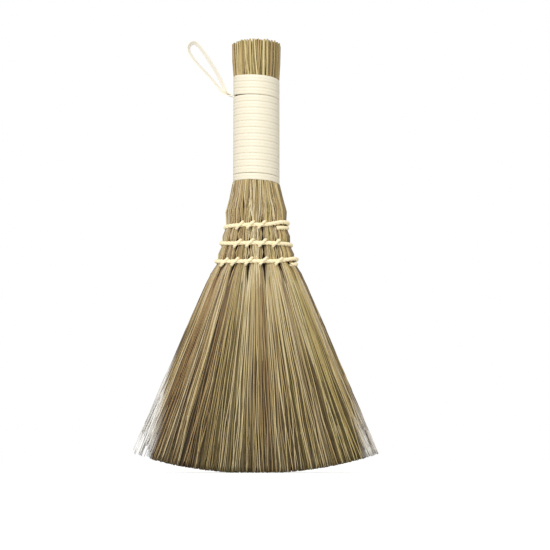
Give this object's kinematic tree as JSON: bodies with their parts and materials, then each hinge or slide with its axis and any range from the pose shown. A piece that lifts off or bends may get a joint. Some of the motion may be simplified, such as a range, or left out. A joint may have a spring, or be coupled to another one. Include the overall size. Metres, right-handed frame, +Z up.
{
  "type": "hand broom",
  "caption": "Small grass hand broom: stalk bundle with a strip-wound round grip, a hanging loop and a flat fan of tufts sewn with rows of cord.",
  "frame": {"origin": "centre of the floor under the broom, standing upright on its trimmed tips", "axes": "+Z up along the grip, +X to the right across the fan, -Y to the front"},
  "size_m": [0.1468, 0.0323, 0.263],
  "materials": {
    "grass_stalks": "matt",
    "wrap_strip": "satin",
    "sewing_cord": "matt"
  },
  "bodies": {
    "broom": {"left_edge_tuft": "grass_stalks", "left_outer_tuft": "grass_stalks", "left_inner_tuft": "grass_stalks", "middle_tuft": "grass_stalks", "right_inner_tuft": "grass_stalks", "right_outer_tuft": "grass_stalks", "right_edge_tuft": "grass_stalks", "handle_wrap": "wrap_strip", "upper_loop_tail": "wrap_strip", "lower_loop_tail": "wrap_strip", "upper_band_cord": "sewing_cord", "middle_band_cord": "sewing_cord", "lower_band_cord": "sewing_cord", "upper_lacing": "sewing_cord", "middle_lacing": "sewing_cord", "lower_lacing": "sewing_cord"},
    "loop": {"hang_loop": "wrap_strip"}
  },
  "joints": [
    {"name": "loop_swing", "type": "hinge", "parent": "broom", "child": "loop", "pos_m": [-0.0154, 0, 0.22964], "axis": [0, 1, 0], "range_deg": [-90, 20], "stiffness_Nm_per_rad": 0.002}
  ]
}
